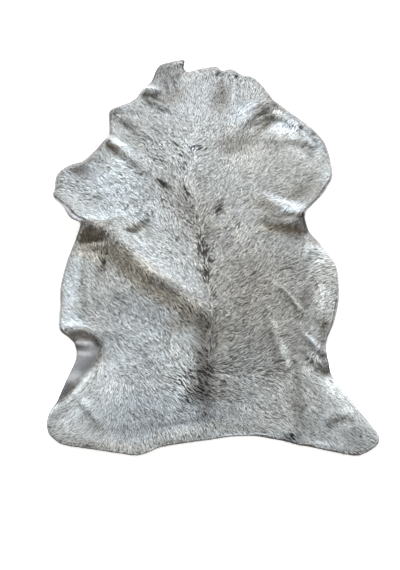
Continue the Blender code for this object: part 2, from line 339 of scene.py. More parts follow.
# %% Bare skin
Bare = namedtuple("Bare", "name share edge outline")  # edge: mm over which the wool starts
BARE_PLACES = [
    Bare("left armpit", 0.6, 24, [
        (-257, 34), (-242, 34), (-224, 27), (-219, 15), (-227, 6), (-242, 3), (-255, 6),
    ]),
    Bare("left foreleg, dried dent", 0.7, 18, [
        (-310, 177), (-292, 184), (-273, 188), (-261, 179), (-267, 164), (-280, 152), (-293, 154),
        (-305, 164),
    ]),
    Bare("left foreleg, curled lip", 1.0, 4, [
        (-319, 87), (-304, 78), (-291, 64), (-278, 53), (-263, 44), (-274, 37), (-293, 47), (-312, 66),
    ]),
    Bare("left shoulder, dried dent", 0.6, 12, [
        (-237, 231), (-221, 241), (-208, 231), (-192, 221), (-189, 213), (-207, 218), (-225, 223),
    ]),
    Bare("left flank", 1.0, 16, [
        (-299, -212), (-281, -208), (-262, -207), (-241, -210), (-229, -220), (-218, -241),
        (-221, -260), (-230, -279), (-251, -305), (-276, -331), (-303, -361), (-326, -366),
        (-317, -308), (-288, -249), (-286, -228),
    ]),
    Bare("right armpit", 0.6, 10, [
        (195, 52), (214, 55), (226, 14), (250, -16), (238, -16), (219, -9), (204, -1), (193, 16),
        (189, 38),
    ]),
    Bare("right shoulder, pressed rim", 0.15, 14, [
        (153, 349), (175, 317), (201, 296), (216, 280), (224, 254), (237, 233), (256, 216),
        (277, 200), (286, 231), (257, 277), (213, 325), (176, 359),
    ]),
    Bare("right flank, high", 0.6, 9, [
        (242, -178), (233, -192), (232, -209), (236, -222), (231, -237), (228, -248), (246, -252),
        (256, -224), (262, -198), (254, -181),
    ]),
    Bare("right flank, low", 0.6, 9, [
        (224, -259), (227, -274), (236, -286), (248, -301), (259, -311), (259, -284), (246, -259),
        (234, -250),
    ]),
]


def signed_distance(points, outline):
    """Distance from a closed outline, negative inside it."""
    crossings = np.zeros(len(points), dtype=int)
    for (x0, y0), (x1, y1) in zip(outline, np.roll(outline, -1, axis=0)):
        spans = (points[:, 1] > y0) != (points[:, 1] > y1)
        edge_x = x0 + (points[:, 1] - y0) / (y1 - y0 if y1 != y0 else 1) * (x1 - x0)
        crossings += spans & (points[:, 0] < edge_x)
    distance = distance_to(points, outline)
    return np.where(crossings % 2 == 1, -distance, distance)


def bareness(points):
    """0 where the wool is whole and 1 on bare skin, at points in metres."""
    bare = np.zeros(len(points))
    for place in BARE_PLACES:
        outside = signed_distance(points / MM, np.array(place.outline, dtype=float))
        bare = np.maximum(bare, place.share * smooth_step(0.5 - outside / place.edge))
    return bare


bare = bareness(wool_top[:, :2])
print("bare share of the skin:", round(float(bare.mean()), 3))

# %% [markdown]
# ## Light and dark places, painted light and shade among them
# The skin isn't one grey, and much of what is painted here is light and shade. The wool is darkest where
# it parts along the spine and over the rump, partly its own tone and partly painted shade in the parting;
# darker and browner on the sides of the folds turned from the window, partly the wool's own brown and
# partly painted shade; and paler on crests that face the window, as painted highlight. Each such place
# is a soft ellipse: where it is, how long and wide, how it is turned, how much lighter or darker (0.5 is
# half as light again, -0.5 half as light), how much warmer, how ragged, which is the share of its locks
# that are nicked short and painted dark as shade in the nick, and how fine, which is how far the wool
# there is brushed smooth, as on the neck and the hind legs. Most light and warm values come from a
# least-squares fit of the blurred render to the blurred photograph, and are rounded. They also make up
# for what the lamp does there, so a place that looks dark can still be painted lighter.

# %% Light and dark places
Place = namedtuple(
    "Place", "name x y half_length half_width turn light warm ragged fine", defaults=(0, 0)
)
PLACES = [
    Place("spine over the rump", -4, -292, 105, 20, 90, -0.75, 0.6, 0.3),
    Place("tail end of the spine", -30, -336, 26, 18, 60, -0.6, 0.4, 0.22),
    Place("tail root", -44, -326, 58, 30, 80, 0.45, -0.3, 0.2),
    Place("right of the spine", 15, -218, 25, 20, 80, -0.45, 0.9),
    Place("spine below the fold", -63, -192, 20, 13, -30, -0.3, 0.9),
    Place("parting along the spine", -5, -51, 92, 16, -82, -0.2, 0.4, 0.36),
    Place("spine at the withers", -45, 130, 90, 10, 97, 0, 0, 0.24),
    Place("between the shoulders", -31, 59, 80, 44, -60, -0.35, 0.6, 0.08),
    Place("left withers", -83, 120, 50, 32, -40, -0.25, 0.1, 0.06),
    Place("right of the withers", 69, 236, 40, 22, 10, -0.65, 0.8),
    Place("tufts on the withers", -27, 229, 20, 9, 0, 0.7, -0.4, 0.38),
    Place("tufts behind the shoulder", -95, 136, 18, 7, -40, -0.55, 0.8, 0.5),
    Place("tufts on the back", 26, 82, 20, 9, 70, -0.55, 0.5, 0.5),
    Place("broken wool left of the spine", -120, 84, 140, 62, -52, 0.05, -0.3, 0.11),
    Place("broken wool on the withers", -60, 221, 80, 60, 0, 0.05, -0.1, 0.1),
    Place("dark neck corner", -101, 417, 31, 31, 0, -0.65, 0.4),
    Place("neck tab, shade", -69, 417, 12, 7, 40, -0.75, 1.2),
    Place("neck rim, notch", 26, 425, 9, 4, 60, -0.4, -1.2, 0.8),
    Place("neck rim, second notch", 67, 411, 7, 5, 90, -0.65, -0.8, 0.6),
    Place("nick in the neck's rim", 35, 419, 30, 8, 0, -0.4, -0.2, 0.25),
    Place("fine wool on the neck", -50, 357, 150, 85, 0, -0.1, -0.3, 0, 0.8),
    Place("neck knob", -135, 379, 16, 9, 0, 1.5, -1.2),
    Place("under the neck knob", -130, 370, 16, 8, -20, 1.5, -1.2),
    Place("neck, below the knob", -111, 344, 22, 8, -40, -0.15, 0.2),
    Place("left side of the neck", -84, 362, 42, 20, 30, -0.55, 0.9),
    Place("dark mane", 32, 360, 37, 24, 90, -0.6, 0.8),
    Place("pale pleat in the neck", 62, 373, 28, 7, 88, 0.6, -0.2),
    Place("pale line down the neck", 60, 360, 46, 4, 88, 0.3, -0.2),
    Place("left cheek", -186, 317, 30, 10, 0, -0.35, -0.3),
    Place("neck below the left cheek", -162, 289, 53, 13, -12, -0.35, 0.3),
    Place("right cheek", 82, 318, 33, 22, 40, 0.45, -1.1),
    Place("right cheek fold", 121, 323, 31, 11, 37, -0.25, 0.3),
    Place("right cheek fold, second", 135, 289, 20, 9, 42, -0.5, 1),
    Place("right cheek, end of the fold", 154, 314, 20, 12, 0, 1.5, -0.1),
    Place("left shoulder streak", -194, 231, 44, 8, -37, 1.1, -1.2),
    Place("left shoulder, bare dent", -200, 221, 30, 9, -40, 1.5, 0.3),
    Place("left shoulder", -190, 180, 40, 25, -35, 1.05, -0.4),
    Place("left shoulder, pale band", -122, 0, 62, 26, -40, 0.4, -0.2),
    Place("left chest", -235, 133, 88, 53, -20, 0.45, -0.7),
    Place("left foreleg, bare dent", -284, 166, 26, 14, 0, -0.3, -0.8),
    Place("left foreleg crest", -206, 65, 70, 15, -4, 0.45, -0.6),
    Place("left foreleg, pale lip", -242, 47, 34, 9, -4, 0.8, -1.2),
    Place("under the armpit branch", -153, 26, 33, 11, 18, 0.15, 0.4),
    Place("left armpit, bare", -241, 17, 26, 18, -6, 0.75, 0.7),
    Place("left armpit, under the lip", -256, 28, 16, 9, -20, -0.85, 0.2),
    Place("left armpit, foot of the slope", -244, -14, 26, 7, -4, 0.45, 1.2),
    Place("yellow tufts at the left armpit", -247, -28, 34, 20, -15, 0.05, 1.2, 0.3),
    Place("crest of the left fold", -105, -51, 136, 18, -37, 0.1, -0.4),
    Place("brown slope of the left fold", -116, -101, 136, 27, -37, 0.65, 1.2),
    Place("top of the left fold's slope", -186, -21, 32, 18, -45, 0.4, 0.1),
    Place("lower slope of the left fold", -85, -108, 50, 11, -27, -0.7, -0.2),
    Place("foot of the left fold", -26, -177, 37, 20, -60, -0.45, 0.7, 0.15),
    Place("left side crease, high", -218, -62, 20, 9, 75, -0.55, 1.2, 0.4),
    Place("left flap", -285, -114, 79, 22, 86, 0.45, -0.7),
    Place("left flap, corner", -275, -188, 26, 18, 0, 0, -1.2),
    Place("left flap, pale corner", -278, -199, 40, 22, -10, 1.1, -0.7),
    Place("left flank, shade under the flap", -262, -205, 32, 9, -5, -0.3, 0.8),
    Place("left flank, first roll", -253, -225, 24, 8, -4, 1.5, -1.2),
    Place("left flank, crease", -252, -240, 16, 3, 0, 0.25, -1.2),
    Place("left flank, second roll", -247, -250, 20, 7, -5, 1.3, -1.2),
    Place("left flank, hollow", -242, -272, 26, 14, 30, -0.7, 1.2),
    Place("left flank, low", -240, -280, 30, 12, 35, -0.55, 0.9),
    Place("left flank, dark end", -285, -336, 24, 11, 55, -0.85, 1.2),
    Place("left flank, fringe", -177, -282, 50, 28, 65, 0.25, -0.3),
    Place("fine wool by the left flank", -205, -301, 70, 44, 40, 0.3, 0.1, 0, 0.9),
    Place("left loin", -138, -246, 132, 97, 60, 0.05, -0.5),
    Place("left loin, below the fold", -115, -164, 90, 40, -15, -0.25, -0.1),
    Place("pale line on the loin", -69, -238, 52, 4, -80, 0.4, 0.2),
    Place("pale line on the left loin", -73, -250, 38, 3, 88, 0.45, 0.2),
    Place("left rump", -95, -374, 132, 35, 0, -0.1, -0.9),
    Place("left thigh crest", -256, -325, 66, 20, 42, 0.4, -0.3),
    Place("left leg, upper edge", -269, -373, 36, 16, 42, 1.2, -0.3),
    Place("fine wool on the left hind leg", -237, -387, 130, 70, -8, 0.1, -0.2, 0, 1),
    Place("crease on the left leg", -239, -377, 56, 3, -46, -0.5, 0.2),
    Place("second crease on the left leg", -146, -381, 34, 3, -48, -0.35, 0.4),
    Place("left leg, bottom", -139, -413, 52, 20, 5, -0.45, -0.7),
    Place("hem, left", -201, -442, 95, 6, -5, 0.15, 0.4),
    Place("hem, left of the middle", -41, -415, 72, 14, 9, 0.3, 0),
    Place("line above the hem", -43, -395, 66, 4, 9, -0.55, -1.2),
    Place("bottom rim, right of the middle", 60, -425, 75, 12, 4, 1.5, -1),
    Place("hem, right", 223, -437, 40, 8, -12, 1.1, -0.5),
    Place("rump nick", 168, -425, 16, 9, -6, -0.55, -0.7, 0.45),
    Place("right shoulder", 176, 281, 40, 18, -5, 0.95, -1.2),
    Place("right shoulder rim", 230, 260, 75, 16, -50, 0.2, -1.2),
    Place("right shoulder, first dent", 209, 277, 8, 6, -40, -0.75, 1.1, 0.5),
    Place("right shoulder, second dent", 236, 262, 9, 5, -60, -0.5, 1.2, 0.4),
    Place("right shoulder, third dent", 238, 226, 8, 6, 20, -0.55, -0.8),
    Place("right shoulder, slope of the roll", 201, 239, 52, 14, -35, 0.05, 0),
    Place("right shoulder, under the roll", 212, 226, 60, 22, -30, 0.9, -0.3),
    Place("fine wool on the right shoulder", 145, 216, 120, 85, -30, 0.15, 0.2, 0, 0.5),
    Place("right foreleg rim", 272, 160, 50, 14, 75, 1.4, -1.2),
    Place("right foreleg, above the armpit", 209, 115, 34, 20, 30, -0.55, 0.7),
    Place("right armpit crest", 171, 84, 46, 13, -22, 1.5, -0.9),
    Place("right armpit, upper slope", 123, 82, 31, 15, -30, -0.25, 0.8),
    Place("right armpit, hollow between the crests", 179, 64, 30, 6, -12, 1.5, -1.2),
    Place("right armpit, lower crest", 161, 52, 36, 7, -6, -0.6, 1.2),
    Place("right armpit, fur in the shade", 209, 44, 16, 10, -60, -0.6, 1.2),
    Place("right armpit, bare strip", 207, 19, 26, 9, -60, 1.5, -1.1),
    Place("brown band under the right armpit", 156, 26, 50, 11, -8, 0.5, 1.2),
    Place("right side fringe", 229, -28, 40, 22, -50, 0.9, -0.5),
    Place("right side strip", 233, -110, 50, 9, 88, 1.5, 0),
    Place("behind the right side strip", 205, -135, 34, 13, 80, -0.6, 0.5),
    Place("right side rim", 277, -90, 75, 9, 90, 1.5, -1.2),
    Place("right side, pale rim", 254, -110, 110, 18, 90, 0.75, -0.1),
    Place("dark smudge in the right rim", 239, -192, 16, 7, 80, -0.4, 1.2),
    Place("right back", 89, -119, 101, 88, 90, -0.35, 0.6),
    Place("right back, low", 158, -235, 75, 48, 100, -0.15, 0.2),
    Place("strands on the right back, warm", 63, 9, 26, 3, -75, -0.25, 1.2),
    Place("strands on the right back, pale", 64, 12, 34, 3, -70, 0.55, 0.5),
    Place("pale strands, second", 105, -23, 30, 3, -80, 0.45, 0),
    Place("pale strands, third", 41, 67, 26, 4, -60, 0.35, 0.3),
    Place("gap between the strands", 102, 2, 24, 3, -78, -0.2, 0.3),
    Place("pale line on the right loin", 176, -135, 34, 5, -52, 1.05, 0),
    Place("lower side of that line", 167, -144, 30, 4, -52, 0.6, 0.1),
    Place("right loin", 69, -284, 97, 66, 80, -0.3, 0, 0.06),
    Place("pale streak on the right loin", 149, -235, 92, 7, -74, 1.15, -0.4),
    Place("dark side of the streak", 131, -235, 70, 8, -76, -0.4, 0.1),
    Place("right loin, pale streak", 85, -309, 70, 30, 100, 0.2, -0.2),
    Place("fold above the right flank", 208, -238, 42, 8, -52, -0.7, 0.2),
    Place("right flank, pale", 211, -231, 30, 8, -52, 1.5, -0.8),
    Place("right flank, foot of the fold", 199, -267, 24, 14, 0, 0.25, -0.1),
    Place("right flank, hollow", 249, -190, 14, 22, 0, 0.05, 0),
    Place("right flank, roll", 246, -222, 14, 12, 0, -0.1, 0.4),
    Place("right flank, second roll", 244, -244, 12, 6, 0, -0.65, -1.2),
    Place("right flank, second hollow", 246, -268, 14, 16, 0, 0.1, -1.2),
    Place("right hip crease", 180, -346, 55, 13, 95, -0.5, 0.3),
    Place("right thigh", 199, -399, 29, 15, 15, -0.35, 0.2),
    Place("right thigh edge", 250, -325, 66, 20, -48, 1.4, -0.3),
    Place("right leg, upper edge", 255, -391, 26, 14, -45, 0.1, 0.2),
    Place("right leg", 280, -395, 31, 24, 20, 0.3, 0),
    Place("right foot", 288, -425, 26, 16, -20, -0.5, 0.2),
    Place("fine wool on the right foot", 260, -407, 70, 45, -20, -0.05, -0.4, 0, 0.6),
]


def place_sums(points):
    """How much lighter, as a factor that holds painted light and shade, how much warmer, how ragged and
    how fine the wool is at points.
    """
    light, warmth, ragged, fine = np.zeros((4, len(points)))
    for place in PLACES:
        c, s = math.cos(math.radians(place.turn)), math.sin(math.radians(place.turn))
        dx = points[:, 0] / MM - place.x
        dy = points[:, 1] / MM - place.y
        radius = ((dx * c + dy * s) / place.half_length) ** 2
        radius += ((dy * c - dx * s) / place.half_width) ** 2
        spread = np.exp(-(radius**1.3))
        light += math.log(1 + place.light) * spread
        warmth += place.warm * spread
        ragged += place.ragged * spread
        fine += place.fine * spread
    return np.exp(light), warmth, ragged, np.clip(fine, 0, 1)


# Painted light and shade from the places, for the leather and the underwool.
painted_light_here, _, ragged_here, _ = place_sums(wool_top[:, :2])
print("lightest and darkest place:", round(float(painted_light_here.max()), 2), round(float(painted_light_here.min()), 2))

# %% [markdown]
# ## The leather
# Lamb leather, tanned with the grain side up under the wool: bluish grey and faintly glossy where the
# bare skin shows, and suede underneath. It is a sheet 2 mm thick, in the folds that it dried in.

# %% Leather
leather, tree, shader = new_material("tanned_lamb_leather")
# Drum tanned and left undyed: fine pores, small wrinkles and a dull shine.
place_on = add_node(tree, "ShaderNodeTexCoord").outputs["Object"]
mottle = add_node(
    tree,
    "ShaderNodeTexNoise",
    values=[("Scale", 45.0), ("Detail", 6.0), ("Roughness", 0.6)],
    links=[("Vector", place_on)],
)
pores = add_node(
    tree,
    "ShaderNodeTexNoise",
    values=[("Scale", 620.0), ("Detail", 3.0)],
    links=[("Vector", place_on)],
)
tint = add_node(tree, "ShaderNodeValToRGB", links=[("Fac", mottle.outputs["Fac"])])
tint.color_ramp.elements[0].position = 0.30
tint.color_ramp.elements[0].color = colour("565453")
tint.color_ramp.elements[1].position = 0.72
tint.color_ramp.elements[1].color = colour("757778")
# The light attribute scales the tint by painted light and shade from the places.
held_painted_light = add_node(tree, "ShaderNodeAttribute", attribute_name="light").outputs["Fac"]
lit = add_node(
    tree,
    "ShaderNodeVectorMath",
    operation="SCALE",
    links=[(0, tint.outputs["Color"]), ("Scale", held_painted_light)],
)
grain = add_node(
    tree,
    "ShaderNodeBump",
    values=[("Strength", 0.5), ("Distance", 0.5 * MM)],
    links=[("Height", pores.outputs["Fac"])],
)
tree.links.new(lit.outputs["Vector"], shader.inputs["Base Color"])
tree.links.new(grain.outputs["Normal"], shader.inputs["Normal"])
shader.inputs["Roughness"].default_value = 0.75
shader.inputs["IOR"].default_value = 1.5

flesh_points = points_of(flesh_side)
flesh_points[:, 2] += wrinkle_lift(flesh_points[:, :2])
flesh_side.vertices.foreach_set("co", flesh_points.ravel())
flesh_side.update()
hide = bpy.data.objects.new("hide", flesh_side)
scene.collection.objects.link(hide)
hide.data.materials.clear()
hide.data.materials.append(leather)
hide.data.shade_smooth()
hide.data.attributes.new("light", "FLOAT", "POINT").data.foreach_set("value", painted_light_here)
thick = hide.modifiers.new("leather", "SOLIDIFY")
thick.thickness = LEATHER
thick.offset = 1.0
print("leather faces:", len(hide.data.polygons))

# %% [markdown]
# ## The underwool
# Below the top hair the wool is too dense to see into. It is one soft surface at half the wool's
# height, darker and warmer than the tips because little light gets down there.

# %% Underwool
UNDER_SHARE = 0.50
LEAST_WOOL = 5 * MM
UNDER_RISE = 9 * MM  # from the rim to where the underwool has its full height

full_height = np.maximum(wool_top[:, 2] - skin_top[:, 2], LEAST_WOOL)
wool_height = full_height * (1 - bare)
rise = wool_height * UNDER_SHARE * smooth_step(rim_distance / UNDER_RISE)
under_points = wool_top.copy()
under_points[:, 2] = skin_top[:, 2] + rise - 0.3 * MM * (1 + 2 * bare)

underwool_mesh = wool_side
underwool_mesh.vertices.foreach_set("co", under_points.ravel())
underwool_mesh.update()
normals = np.empty(len(under_points) * 3)
underwool_mesh.vertex_normals.foreach_get("vector", normals)
normals = normals.reshape(-1, 3)
under_points[:, 2] += skin_lift
underwool_mesh.vertices.foreach_set("co", under_points.ravel())
underwool_mesh.update()
underwool = bpy.data.objects.new("underwool", underwool_mesh)
scene.collection.objects.link(underwool)
underwool.data.shade_smooth()
# Painted light and shade from the places, and painted shade down in the nicks of ragged places.
under_painted_light = painted_light_here * (1 - 0.85 * np.clip(2.2 * ragged_here, 0, 1))
underwool.data.attributes.new("light", "FLOAT", "POINT").data.foreach_set("value", under_painted_light)

fleece, tree, shader = new_material("dense_lamb_underwool")
# Uncombed down between the hairs: matt, and mottled where it felts into tufts of some 4 mm.
place_on = add_node(tree, "ShaderNodeTexCoord").outputs["Object"]
tufts = add_node(
    tree,
    "ShaderNodeTexNoise",
    values=[("Scale", 260.0), ("Detail", 5.0), ("Roughness", 0.65)],
    links=[("Vector", place_on)],
)
tint = add_node(tree, "ShaderNodeValToRGB", links=[("Fac", tufts.outputs["Fac"])])
tint.color_ramp.elements[0].position = 0.3
tint.color_ramp.elements[0].color = colour("3f3b37")
tint.color_ramp.elements[1].position = 0.75
tint.color_ramp.elements[1].color = colour("726d67")
# The light attribute scales the tint by painted light and shade from the places.
held_painted_light = add_node(tree, "ShaderNodeAttribute", attribute_name="light").outputs["Fac"]
lit = add_node(
    tree,
    "ShaderNodeVectorMath",
    operation="SCALE",
    links=[(0, tint.outputs["Color"]), ("Scale", held_painted_light)],
)
tree.links.new(lit.outputs["Vector"], shader.inputs["Base Color"])
shader.inputs["Roughness"].default_value = 0.95
shader.inputs["Specular IOR Level"].default_value = 0.2
underwool.data.materials.clear()
underwool.data.materials.append(fleece)
thick = underwool.modifiers.new("felted_depth", "SOLIDIFY")
thick.thickness = 1.6 * MM
thick.offset = -1.0
print("underwool faces:", len(underwool.data.polygons))

# %% [markdown]
# ## Where the hairs grow
# Hairs are scattered over the underwool by area, thinly on the bare places and three times as thickly
# in a band along the rim, where they make a short fuzz over the cut edge. The scatter is seeded, so every
# run gives the same coat.

# %% Scatter the hairs
HAIRS = 260_000
BARE_DENSITY = 0.15
RIM_FUZZ = 5.0 * MM
RIM_DENSITY = 3
COARSE_FROM = 150 * MM  # from the rim to where the wool is at its coarsest
rng = np.random.default_rng(11)

underwool_mesh.calc_loop_triangles()
corners = np.empty(len(underwool_mesh.loop_triangles) * 3, dtype=np.int32)
underwool_mesh.loop_triangles.foreach_get("vertices", corners)
corners = corners.reshape(-1, 3)

a, b, c = (under_points[corners[:, k]] for k in range(3))
areas = np.linalg.norm(np.cross(b - a, c - a), axis=1) / 2
wanted = areas * (1 - (1 - BARE_DENSITY) * bare[corners].mean(axis=1) ** 2)
wanted *= 1 + (RIM_DENSITY - 1) * (rim_distance[corners].mean(axis=1) < RIM_FUZZ)
picked = np.searchsorted(np.cumsum(wanted) / wanted.sum(), rng.random(HAIRS))
picked = np.minimum(picked, len(corners) - 1)
u, v = rng.random(HAIRS), rng.random(HAIRS)
over = u + v > 1
u[over], v[over] = 1 - u[over], 1 - v[over]
shares = np.stack([1 - u - v, u, v], axis=1)


def at_hairs(values):
    """A value held at the surface's points, read at each hair's root."""
    held = values[corners[picked]]
    if values.ndim == 1:
        return (held * shares).sum(axis=1)
    return (held * shares[:, :, None]).sum(axis=1)


def unit(vectors):
    return vectors / np.maximum(np.linalg.norm(vectors, axis=1), 1e-9)[:, None]


roots = at_hairs(under_points)
slope = [
    (wrinkle_lift(roots[:, :2] + move) - wrinkle_lift(roots[:, :2] - move)) / (2 * MM)
    for move in (np.array((MM, 0)), np.array((0, MM)))
]
up = at_hairs(normals)
up = unit(up - np.stack(slope + [np.zeros(HAIRS)], axis=1) * up[:, 2:])
from_rim = at_hairs(rim_distance)
room = at_hairs(skin_top[:, 2] + full_height + skin_lift) - roots[:, 2]
coarse = smooth_step(from_rim / COARSE_FROM)
root_bare = bareness(roots[:, :2])
print("skin area, m2:", round(float(areas.sum()), 3), "hairs per cm2:", round(HAIRS / areas.sum() / 1e4))

# %% [markdown]
# ## How the wool lies
# A lamb's hair has a direction everywhere. Here it runs down from the neck and in towards the spine from
# both sides, and turns back at the flanks over the hind legs. Guide hairs, a hand's breadth or less
# apart, say which way it points: x and y in mm, and the way the tips point, in degrees from +X. Their
# directions were measured in the photograph and then set in steps of 5 degrees. The spine is a parting,
# with a row of guides on either side of it. Every other hair takes a mean of the guides near it.

# %% Guide hairs
GUIDES = {
    "neck": [
        (-180, 380, -60), (-125, 355, -55), (-80, 410, -75), (-15, 395, -90), (60, 380, -95),
        (105, 340, -130), (-60, 295, -60), (10, 300, -115), (75, 270, -110),
    ],
    "left shoulder and foreleg": [
        (-185, 260, -45), (-125, 275, -45), (-105, 215, -45), (-47, 210, -45), (-235, 150, -40),
        (-190, 165, -40), (-300, 135, -15), (-280, 105, -30), (-125, 125, -40), (-200, 70, -45),
        (-125, 30, -45), (-37, 33, -45),
    ],
    "right shoulder and foreleg": [
        (-7, 223, -140), (30, 220, -125), (-5, 165, -135), (35, 165, -125), (75, 220, -95),
        (125, 275, -125), (125, 220, -120), (175, 225, -130), (225, 195, -150), (250, 145, -140),
        (205, 165, -140), (160, 170, -150), (95, 165, -130), (35, 115, -125), (100, 120, -130),
        (180, 120, -140),
    ],
    "left side": [
        (-245, 10, -80), (-275, -25, -40), (-255, -30, -70), (-225, -50, -50), (-285, -60, -40),
        (-185, -25, -40), (-100, -30, -40), (-285, -135, -45), (-215, -125, -45), (-120, -125, -40),
        (-65, -115, -45), (-290, -195, -25), (-260, -205, -20), (-220, -200, -35), (-130, -205, -40),
        (-50, -205, -45),
    ],
    "right side": [
        (35, 75, -130), (110, 70, -135), (40, 25, -135), (70, 25, -110), (115, 25, -125),
        (160, 25, -140), (205, 20, -135), (50, -30, -140), (115, -25, -130), (160, -30, -135),
        (205, -25, -120), (235, -30, -175), (235, -70, -165), (70, -80, -140), (115, -80, -130),
        (180, -75, -140), (90, -150, -135), (180, -155, -140), (240, -145, -130), (65, -205, -155),
        (105, -205, -130), (170, -205, -140), (230, -210, -130),
    ],
    "left loin": [
        (-220, -240, -30), (-160, -245, -40), (-95, -245, -40), (-50, -245, -45), (-190, -275, -40),
        (-170, -295, -25), (-115, -290, -40), (-55, -290, -30), (-20, -290, -40), (-130, -330, -35),
        (-75, -330, -30), (-20, -330, -40), (-125, -370, -30), (-90, -370, -45), (-55, -370, -35),
        (-20, -365, -45),
    ],
    "right loin, where the wool turns over": [
        (65, -245, -160), (105, -245, -150), (145, -245, -130), (190, -245, -140), (30, -270, -170),
        (85, -270, -175), (145, -270, -165), (185, -265, -150), (30, -305, -25), (85, -305, -15),
        (145, -300, -20), (185, -295, -35), (225, -290, -45),
    ],
    "left hind leg, combed outwards": [
        (-230, -265, -140), (-240, -290, -135), (-285, -335, -135), (-235, -330, -135),
        (-180, -330, -120), (-160, -335, -60), (-295, -370, -135), (-235, -370, -140),
        (-175, -370, -120), (-150, -370, -60), (-290, -410, -140), (-230, -408, -145),
        (-175, -405, -120), (-145, -405, -65), (-280, -430, -150), (-230, -440, -160),
        (-185, -440, -95), (-150, -440, -60),
    ],
    "right hind leg": [
        (20, -330, -20), (65, -330, -20), (105, -330, -30), (165, -330, -45), (230, -335, -30),
        (20, -370, -40), (65, -370, -45), (125, -370, -35), (180, -370, -30), (240, -370, -35),
        (45, -405, -45), (125, -412, -40), (200, -415, -40), (265, -415, -45), (315, -428, -40),
    ],
    "hem": [
        (-115, -440, -90), (-110, -420, -80), (-65, -425, -90), (-5, -415, -80), (-85, -400, -60),
        (-35, -390, -50),
    ],
}
PARTING = [  # x and y, and how far to either side the two guides stand
    (-28, 120, 22), (-26, 82, 16), (-14, 20, 22), (0, -35, 10), (2, -72, 10), (4, -112, 10),
    (9, -148, 12), (6, -203, 18), (4, -246, 20),
]
LEFT_OF_PARTING = -45
RIGHT_OF_PARTING = -140

guides = [guide for region in GUIDES.values() for guide in region]
guides += [(x - half, y, LEFT_OF_PARTING) for x, y, half in PARTING]
guides += [(x + half, y, RIGHT_OF_PARTING) for x, y, half in PARTING]


def flow_angle(points):
    """The way the wool lies, in radians, at points in metres: nearer guides count for more.

    Where the guides near a point disagree too much for a plain mean, which is where the wool lies
    level and its tips may point either way, doubled angles are averaged instead.
    """
    pull = np.zeros((len(points), 5))
    for x, y, degrees in guides:
        turn = math.radians(degrees)
        gap = ((points - np.array((x, y)) * MM) ** 2).sum(axis=1) + (12 * MM) ** 2
        parts = (math.cos(turn), math.sin(turn), math.cos(2 * turn), math.sin(2 * turn), 1)
        pull += np.array(parts) * (gap**-1.6)[:, None]
    plain = np.arctan2(pull[:, 1], pull[:, 0])
    level = np.arctan2(pull[:, 3], pull[:, 2]) / 2
    level = np.where(level > 0, level - math.pi, level)
    agreed = np.hypot(pull[:, 0], pull[:, 1]) / pull[:, 4]
    return np.where(agreed > 0.55, plain, level)


def streak_noise(points, angles, length, width, salt):
    """Soft noise drawn out along the wool, whose course is taken to the nearest 20 degrees."""
    turned = np.round(angles / math.radians(20)) * math.radians(20)
    c, s = np.cos(turned), np.sin(turned)
    forward = (points[:, 0] * c + points[:, 1] * s) / length
    sideways = (points[:, 1] * c - points[:, 0] * s) / width
    return soft_noise(np.stack([forward, sideways], axis=1), 1.0, salt)


angle = flow_angle(roots[:, :2])
angle += math.radians(15) * soft_noise(roots[:, :2], 26 * MM, 3)
angle += math.radians(9) * soft_noise(roots[:, :2], 10 * MM, 8)
course = np.stack([np.cos(angle), np.sin(angle)], axis=1)
beside = np.stack([-course[:, 1], course[:, 0]], axis=1)
print("guides:", len(guides))

# %% [markdown]
# ## Locks
# Wool doesn't lie hair by hair. Some five hairs grease together into a narrow lock that has its own
# slant, length and shade, and its hairs lean in towards its middle. The locks stand on a jittered grid,
# each several times longer than wide along the course of the wool, and each hair joins the nearest.
# Here and there a cropped fleece is nicked short, in slits along the wool some 7 mm long, most of all on
# its ragged places; the hairs in a slit are painted nearly black, as painted shade down in the gap.
# Where the wool lies level, its locks point left or right one by one.

# %% Locks
LOCK_PITCH = 3.0 * MM
LOCK_STRETCH = 4.5
SEEN_PART = 6.5  # mm from a hair's root to the middle of what shows of it
NICK_SHARE = 0.07
NICK_LENGTH = 7.5 * MM
NICK_WIDTH = 2.4 * MM
GAP_SHADE_SHARE = 0.13


grid = roots[:, :2] / LOCK_PITCH
cell = np.floor(grid)
best = np.full(HAIRS, np.inf)
lock_cell = cell.copy()
lock_at = grid.copy()
for dx in (-2, -1, 0, 1, 2):
    for dy in (-2, -1, 0, 1, 2):
        near = cell + (dx, dy)
        jitter_x, jitter_y = cell_numbers(near, 2)
        centre = near + np.stack([jitter_x, jitter_y], axis=1)
        gap = grid - centre
        gap = (gap * beside).sum(axis=1) ** 2 + ((gap * course).sum(axis=1) / LOCK_STRETCH) ** 2
        nearer = gap < best
        best[nearer] = gap[nearer]
        lock_cell[nearer] = near[nearer]
        lock_at[nearer] = centre[nearer]
_, _, lock_turn, lock_shade, lock_length, lock_lift, lock_way, lock_gap_shade = cell_numbers(lock_cell, 8)
middles = roots[:, :2] + course * (SEEN_PART * MM)
# Painted light and shade from the places, and their warmth, read where each hair shows.
light, warmth, ragged, fine = place_sums(middles)
coarse *= 1 - fine
nick_from = 1.05 - 2 * (ragged + NICK_SHARE * coarse) - 0.3 * soft_noise(middles, 16 * MM, 22)
flow = angle.copy()
lock_at = lock_at * LOCK_PITCH
print("locks:", len(np.unique(lock_cell, axis=0)))

# %% [markdown]
# ## The hairs themselves
# Each hair is a flat tapered blade: two points at the root, two at its bend and one at the tip. It
# leaves the skin at a slant, bends over in the direction of the wool, and ends about where the solid's
# wool side lies. Fine wool lies flatter, nicked hairs are cut short, and those on the rim point outwards.

# %% Grow the hairs
HAIR_LENGTH = 10.0 * MM
DOWN_LENGTH = 4.0 * MM
HAIR_WIDTH = 0.58 * MM
LOWER_PART = 0.5
LOCK_TURN = math.radians(20)
RIM_LENGTH = 0.6
RIM_RISE = 18 * MM
RIM_REACH = 0.12
FINE_REACH = 0.45
SLIT_EDGE = 0.12
NICKED_OFF = 0.68
TIP_OFF = 0.4

